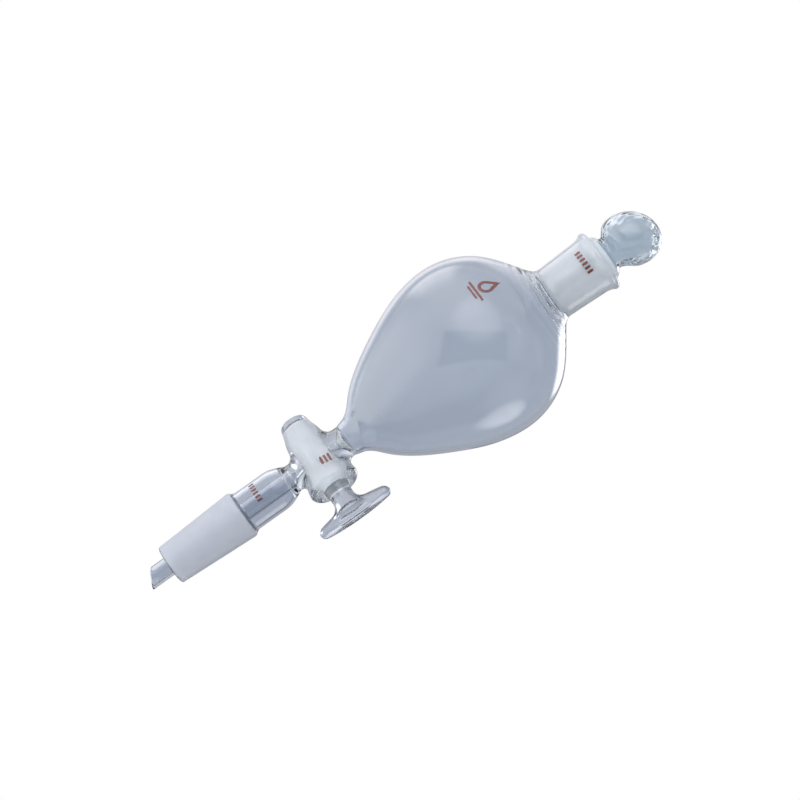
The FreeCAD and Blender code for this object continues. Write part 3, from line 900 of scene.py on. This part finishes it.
def make_marks():
    line = bulb_line()

    def bulb_r(z):
        return np.interp(z, line[:, 0], line[:, 1])

    def neck_r(z):
        return NECK_LOW[1] + (z - NECK_LOW[0]) * NECK_FLARE

    def jacket_r(z):
        return np.full(len(z), JACKET_R)

    emblem = [drop(0.3, 3.5, 6.6, 1.5), bar(0, -4.6, 12.4, 1.15, 1), bar(0, -6.4, 8.4, 0.95, 2)]
    print_film("bulb_emblem_print", emblem, on_tube(bulb_r, 153.3, -6), "bulb_emblem")
    socket = [bar((i - 2.5) * 2.15, 0, 1.25, 2.9, i) for i in range(6)]
    print_film("socket_print", socket, on_tube(neck_r, 198.3, 9), "socket_mark")
    jacket = [bar((i - 2.5) * 1.95, 0, 1.1, 2.6, i + 3) for i in range(6)]
    print_film("jacket_print", jacket, on_tube(jacket_r, 12.1, -7), "jacket_mark")
    barrel = [bar(0, (i - 1) * 2.3, 4.0, 1.3, i + 5) for i in range(3)]
    print_film("barrel_print", barrel, on_barrel(6.2, KEY_Z + 4.1), "barrel_mark")


make_marks()


# ---- studio -----------------------------------------------------------------------------------
def mixed(tree, test, shader, instead):
    """The shader, with the other one instead where the test is 1."""
    mix = tree.nodes.new("ShaderNodeMixShader")
    tree.links.new(test, mix.inputs["Fac"])
    tree.links.new(shader, mix.inputs[1])
    tree.links.new(instead, mix.inputs[2])
    return mix.outputs["Shader"]


RIGHT = Vector((math.cos(VIEW_TURN), math.sin(VIEW_TURN), 0))     # towards the handle
TOWARDS = Vector((math.sin(VIEW_TURN), -math.cos(VIEW_TURN), 0))  # from the funnel to the camera
UP = Vector((0, 0, 1))
ROLL = math.radians(35.4)           # the funnel's axis above the picture's horizontal
PICTURE_RIGHT = math.cos(ROLL) * UP + math.sin(ROLL) * RIGHT
PICTURE_UP = math.sin(ROLL) * UP - math.cos(ROLL) * RIGHT
MATT_LIGHT_FROM = (0.55 * TOWARDS - 0.75 * RIGHT + 0.2 * UP).normalized()
LAMP_BEHIND = -0.80 * TOWARDS + 0.37 * RIGHT + 0.47 * UP


class World:
    """The studio as a function of direction, built by short calls."""

    def __init__(self):
        world = bpy.data.worlds.new("studio")
        bpy.context.scene.world = world
        world.use_nodes = True
        self.tree = world.node_tree
        self.tree.nodes.clear()
        self.ray = self.tree.nodes.new("ShaderNodeTexCoord").outputs["Generated"]

    def math(self, operation, *values):
        node = self.tree.nodes.new("ShaderNodeMath")
        node.operation = operation
        for socket, value in zip(node.inputs, values):
            self.feed(socket, value)
        return node.outputs["Value"]

    def feed(self, socket, value):
        if isinstance(value, (int, float)):
            socket.default_value = value
        else:
            self.tree.links.new(value, socket)

    def along(self, direction):
        node = self.tree.nodes.new("ShaderNodeVectorMath")
        node.operation = "DOT_PRODUCT"
        self.tree.links.new(self.ray, node.inputs[0])
        node.inputs[1].default_value = direction
        return node.outputs["Value"]

    def step(self, value, low, high):
        """0 below low, 1 above high, smooth between; the other way round if low is above high."""
        node = self.tree.nodes.new("ShaderNodeMapRange")
        node.interpolation_type = "SMOOTHSTEP"
        node.inputs["From Min"].default_value = min(low, high)
        node.inputs["From Max"].default_value = max(low, high)
        node.inputs["To Min"].default_value = 0 if low < high else 1
        node.inputs["To Max"].default_value = 1 if low < high else 0
        self.tree.links.new(value, node.inputs["Value"])
        return node.outputs["Result"]

    def glow(self, direction, inner, outer):
        """1 within the inner angle of a direction, 0 beyond the outer one, in degrees."""
        near = self.along(direction.normalized())
        return self.step(near, math.cos(math.radians(outer)), math.cos(math.radians(inner)))

    def turn_ramp(self, stops):
        """Brightness by the turn in degrees from the camera's side, minus towards the narrow end."""
        node = self.tree.nodes.new("ShaderNodeValToRGB")
        elements = node.color_ramp.elements
        while len(elements) < len(stops):
            elements.new(0.5)
        top = max(value for _, value in stops)
        for element, (degrees, value) in zip(elements, stops):
            element.position = (degrees + 180) / 360
            element.color = (value / top, value / top, value / top, 1)
        turn = self.math("ARCTAN2", self.along(RIGHT), self.along(TOWARDS))
        self.tree.links.new(self.math("MULTIPLY_ADD", turn, 0.5 / math.pi, 0.5), node.inputs["Fac"])
        return self.math("MULTIPLY", node.outputs["Color"], top)

    def coloured(self, value, colour, bright=None):
        """Light of one colour, or of one that turns into bright where the value is high."""
        node = self.tree.nodes.new("ShaderNodeBackground")
        node.inputs["Color"].default_value = (*colour, 1)
        self.feed(node.inputs["Strength"], value)
        if bright:
            mix = self.tree.nodes.new("ShaderNodeMix")
            mix.data_type = "RGBA"
            self.tree.links.new(self.step(value, 0.6, 1.0), mix.inputs["Factor"])
            mix.inputs["A"].default_value = (*colour, 1)
            mix.inputs["B"].default_value = (*bright, 1)
            self.tree.links.new(mix.outputs["Result"], node.inputs["Color"])
        return node.outputs["Background"]


def softbox_light(world, up):
    """What the glass reflects: a band of softboxes, a lamp, a dark window and some glows."""
    light = world.turn_ramp([
        (-180, 0.45), (-163, 0.9), (-147, 0.9), (-141, 0.38), (-132, 0.38), (-125, 1.1), (-90, 1.7),
        (-50, 1.8), (-20, 1.3), (0, 1.15), (25, 0.9), (55, 0.35), (180, 0.35),
    ])
    lamp = world.turn_ramp([(-135, 0), (-129, 1), (-112, 1), (-88, 0)])
    lamp = world.math("MULTIPLY", lamp, world.step(up, -0.22, -0.06))
    lamp = world.math("MULTIPLY", lamp, world.step(up, 0.46, 0.26))
    light = world.math("MULTIPLY_ADD", lamp, 2.2, light)

    across = world.math("ABSOLUTE", world.math("SUBTRACT", world.along(PICTURE_RIGHT), 0.03))
    height = world.math("ABSOLUTE", world.math("SUBTRACT", world.along(PICTURE_UP), 0.06))
    window = world.math("MULTIPLY", world.step(across, 0.66, 0.56), world.step(height, 0.34, 0.26))
    window = world.math("MULTIPLY", window, world.step(world.along(TOWARDS), 0.0, 0.1))
    light = world.math("MULTIPLY", light, world.math("MULTIPLY_ADD", window, -0.95, 1.0))

    for direction, inner, outer, power in (
        (0.79 * TOWARDS + 0.60 * PICTURE_UP + 0.05 * PICTURE_RIGHT, 8, 36, 2.2),
        (-0.14 * TOWARDS + 0.98 * RIGHT - 0.14 * UP, 6, 20, 3.2),
        (LAMP_BEHIND, 6, 17, 3.0),
        (0.05 * TOWARDS - PICTURE_RIGHT, 15, 48, 1.5),
        (0.34 * TOWARDS + 0.87 * PICTURE_UP - 0.32 * PICTURE_RIGHT, 8, 42, 1.35),
        (-0.58 * TOWARDS + 0.66 * PICTURE_UP + 0.47 * PICTURE_RIGHT, 5, 25, 0.5),
        (0.32 * TOWARDS + 0.62 * PICTURE_RIGHT - 0.72 * PICTURE_UP, 5, 30, 0.9),
        (0.32 * TOWARDS + 0.95 * PICTURE_RIGHT, 5, 32, 0.7),
    ):
        glow = world.glow(direction, inner, outer)
        light = world.math("MULTIPLY_ADD", glow, power, light)
    return light


def room_light(world, up):
    """What shows through the glass: a grey room, brighter to the sides, with one lamp behind."""
    light = world.turn_ramp([
        (-180, 0.50), (-170, 0.50), (-160, 0.85), (-135, 0.86), (-124, 0.76), (-108, 0.78),
        (-96, 0.30), (-60, 0.25), (-40, 0.5), (40, 0.45), (60, 0.18), (115, 0.15), (140, 0.26),
        (152, 0.46), (180, 0.50),
    ])
    light = world.math("MULTIPLY_ADD", world.glow(LAMP_BEHIND, 6, 17), 1.05, light)
    level = world.math("SUBTRACT", 1, world.math("MULTIPLY", up, up))
    lift = world.math("MULTIPLY_ADD", up, 0.26, 1.03)
    return world.math("MULTIPLY", light, world.math("MULTIPLY", lift, world.math("POWER", level, 0.3)))


def make_world():
    """White to the camera, a grey room through the glass, and softboxes in its reflections."""
    world = World()
    up = world.along(UP)
    softboxes = world.coloured(softbox_light(world, up), (1.02, 0.98, 1.0))
    room = world.coloured(room_light(world, up), (0.855, 0.94, 1.085), (0.96, 0.98, 1.03))
    towards_light = world.math("MULTIPLY_ADD", world.along(MATT_LIGHT_FROM), 0.46, 1.02)
    on_matt = world.coloured(towards_light, (0.95, 1.0, 1.05))
    white = world.coloured(1.0, (1, 1, 1))

    tree = world.tree
    path = tree.nodes.new("ShaderNodeLightPath")
    scattered = world.math("GREATER_THAN", path.outputs["Diffuse Depth"], 0.5)
    shader = mixed(tree, path.outputs["Is Transmission Ray"], softboxes, room)
    shader = mixed(tree, scattered, shader, on_matt)
    shader = mixed(tree, path.outputs["Is Camera Ray"], shader, white)
    out = tree.nodes.new("ShaderNodeOutputWorld")
    tree.links.new(shader, out.inputs["Surface"])
    bpy.context.scene.world.cycles.sampling_method = "NONE"


def make_floor():
    """White to the camera, and nothing to the glass, so that it adds no dark half to it."""
    half, z = 6.0, cad_box[0].z - 0.0006
    corners = [(-half, -half, z), (half, -half, z), (half, half, z), (-half, half, z)]
    mesh = bpy.data.meshes.new("floor")
    mesh.from_pydata(corners, [], [(0, 1, 2, 3)])
    floor = bpy.data.objects.new("floor", mesh)
    bpy.context.scene.collection.objects.link(floor)
    material = bpy.data.materials.new("pale_floor")
    material.use_nodes = True
    tree = material.node_tree
    tree.nodes.clear()
    white = tree.nodes.new("ShaderNodeEmission")
    white.inputs["Color"].default_value = (1, 1, 1, 1)
    nothing = tree.nodes.new("ShaderNodeBsdfTransparent")
    seen = tree.nodes.new("ShaderNodeLightPath").outputs["Is Camera Ray"]
    out = tree.nodes.new("ShaderNodeOutputMaterial")
    shader = mixed(tree, seen, nothing.outputs["BSDF"], white.outputs["Emission"])
    tree.links.new(shader, out.inputs["Surface"])
    mesh.materials.append(material)


def make_lights():
    """One soft light on the matt parts; the reflections come from the world."""
    data = bpy.data.lights.new("key_softbox", "AREA")
    data.shape = "RECTANGLE"
    data.size, data.size_y = 0.35, 0.8
    data.energy = 0.5
    aim = 0.09 * UP
    place = aim - 0.75 * RIGHT + 0.45 * TOWARDS + 0.1 * UP
    back = (place - aim).normalized()
    side = UP.cross(back).normalized()
    axes = Matrix((side, back.cross(side), back)).transposed().to_4x4()
    lamp = bpy.data.objects.new("key_softbox", data)
    lamp.matrix_world = Matrix.Translation(place) @ axes
    lamp.visible_camera = lamp.visible_glossy = lamp.visible_transmission = False
    bpy.context.scene.collection.objects.link(lamp)


def make_camera():
    """Level with the funnel and square to its axis, rolled so that the funnel lies aslant."""
    distance, across, width = 1.2, 0.3747, 36.0
    data = bpy.data.cameras.new("camera")
    data.sensor_width = width
    data.lens = width * distance / across
    camera = bpy.data.objects.new("camera", data)
    target = 0.0919 * UP - 0.0009 * RIGHT
    axes = Matrix((PICTURE_RIGHT, PICTURE_UP, TOWARDS)).transposed().to_4x4()
    camera.matrix_world = Matrix.Translation(target + distance * TOWARDS) @ axes
    bpy.context.scene.collection.objects.link(camera)
    bpy.context.scene.camera = camera


def set_up_render():
    """Enough bounces for light to pass through every wall of the glass."""
    scene = bpy.context.scene
    scene.view_settings.view_transform = "Standard"
    scene.cycles.max_bounces = 32
    scene.cycles.transmission_bounces = 28
    scene.cycles.glossy_bounces = 12
    scene.cycles.transparent_max_bounces = 32
    scene.cycles.use_denoising = True


make_world()
make_floor()
make_lights()
make_camera()
set_up_render()
